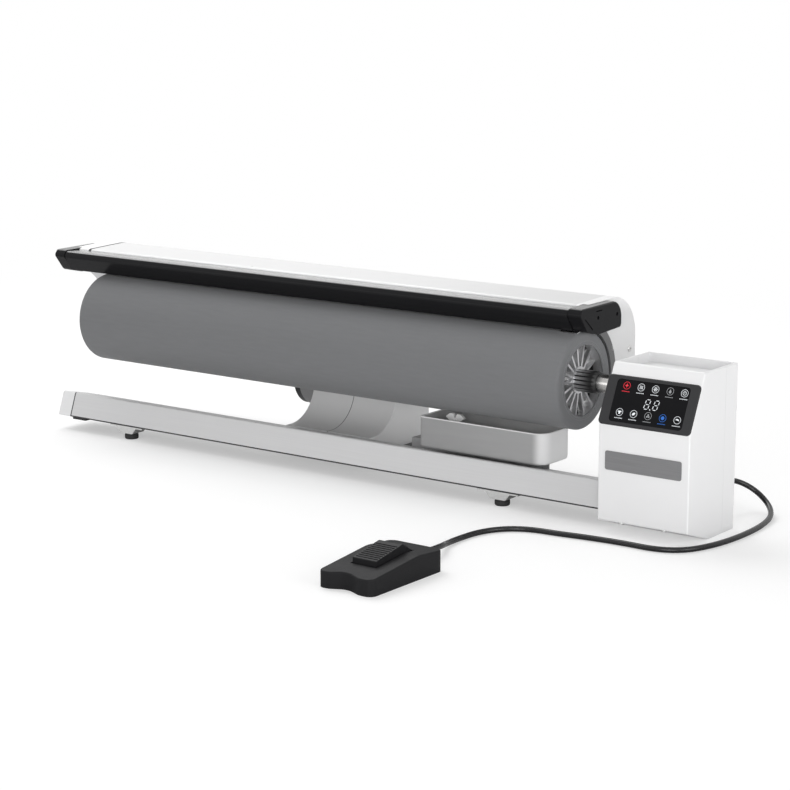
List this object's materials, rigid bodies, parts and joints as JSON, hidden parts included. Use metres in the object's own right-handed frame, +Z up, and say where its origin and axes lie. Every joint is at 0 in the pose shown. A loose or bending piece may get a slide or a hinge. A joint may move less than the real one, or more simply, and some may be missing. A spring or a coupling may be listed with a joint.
{
  "type": "rotary_steam_press",
  "caption": "Long table-top rotary steam press: grey padded drum on a cantilever shaft, white heated head with a black front bar, drive box with touch panel, water tank and foot pedal.",
  "frame": {"origin": "middle of the bounding box's bottom face, without the cable: on the floor, half way along the press", "axes": "+X along the drum towards the drive box, +Y to the back, +Z up"},
  "size_m": [1.2504, 0.681, 0.2834],
  "materials": {
    "light_grey_extrusion": "satin",
    "white_moulding": "satin",
    "white_enamel": "satin",
    "grey_moulding": "satin",
    "rubber_black": "matte",
    "plated_steel": "satin",
    "bright_steel": "polished",
    "gear_steel": "satin",
    "screw_steel": "satin",
    "dark_painted_steel": "satin",
    "grey_painted_steel": "satin",
    "motor_casing": "satin",
    "bronze_bush": "satin",
    "black_moulding": "matte",
    "panel_glass_black": "gloss",
    "board": "satin",
    "plate_grey": "satin",
    "cloth_grey": "matte",
    "felt": "matte",
    "aluminium_tube": "satin",
    "aluminium_cast": "satin"
  },
  "bodies": {
    "base": {"base_beam": "light_grey_extrusion", "beam_end_cap": "white_moulding", "box_front_shell": "white_moulding", "box_rear_cover": "white_moulding", "column_cover_left": "grey_moulding", "column_cover_right": "grey_moulding", "beam_bumper": "rubber_black", "rubber_feet": "rubber_black", "cable_gland": "rubber_black", "pedal_relief": "rubber_black", "pedal_cable": "rubber_black", "foot_brackets": "plated_steel", "box_base_plate": "plated_steel", "drive_bracket": "plated_steel", "rocker_pin": "bright_steel", "box_screws": "screw_steel", "column_frame": "dark_painted_steel", "tank_tray": "dark_painted_steel", "pivot_barrel": "grey_painted_steel", "press_motor": "motor_casing", "drive_motor": "motor_casing", "pivot_bushes": "bronze_bush", "shaft_bushes": "bronze_bush", "panel_frame": "black_moulding", "pedal_base": "black_moulding", "pedal_cover": "black_moulding", "pedal_switch": "black_moulding", "mains_inlet": "black_moulding", "water_pump": "black_moulding", "panel_glass": "panel_glass_black", "display_board": "board", "control_board": "board", "name_plate": "plate_grey"},
    "drum": {"drum_cover": "cloth_grey", "drum_padding": "felt", "drum_tube": "aluminium_tube", "drum_hub": "aluminium_cast", "drum_end_disc": "aluminium_cast", "drum_shaft": "bright_steel", "drive_gear": "gear_steel"},
    "pinion": {"motor_pinion": "gear_steel"},
    "head": {"shoe": "aluminium_cast", "heater_rods": "gear_steel", "thermostat": "aluminium_cast", "shoe_brackets": "plated_steel", "head_beam": "plated_steel", "hinge_arms": "dark_painted_steel", "pivot_shaft": "bright_steel", "head_top_cover": "white_enamel", "head_back_panel": "white_enamel", "head_end_cover_left": "white_moulding", "head_end_cover_right": "white_moulding", "front_bar": "black_moulding", "bar_cap_left": "black_moulding", "bar_cap_right": "black_moulding", "head_screws": "screw_steel"},
    "tank": {"water_tank": "grey_moulding", "tank_valve": "white_moulding"},
    "rocker": {"pedal_rocker": "black_moulding"}
  },
  "joints": [
    {"name": "drum_spin", "type": "hinge", "parent": "base", "child": "drum", "pos_m": [0, 0.177, 0.178], "axis": [1, 0, 0], "continuous": true},
    {"name": "pinion_spin", "type": "hinge", "parent": "base", "child": "pinion", "pos_m": [0.5, 0.15632, 0.15732], "axis": [1, 0, 0], "continuous": true},
    {"name": "head_lift", "type": "hinge", "parent": "base", "child": "head", "pos_m": [-0.071, 0.2965, 0.1], "axis": [-1, 0, 0], "range_deg": [0, 22]},
    {"name": "tank_slide", "type": "slide", "parent": "base", "child": "tank", "axis": [0, -1, 0], "range_m": [0, 0.08]},
    {"name": "rocker_tilt", "type": "hinge", "parent": "base", "child": "rocker", "pos_m": [0.367, -0.2655, 0.015], "axis": [1, 0, 0], "range_deg": [-6, 6], "stiffness_Nm_per_rad": 1.5}
  ],
  "couplings": [
    {"joint": "pinion_spin", "follows": "drum_spin", "ratio": -2}
  ]
}
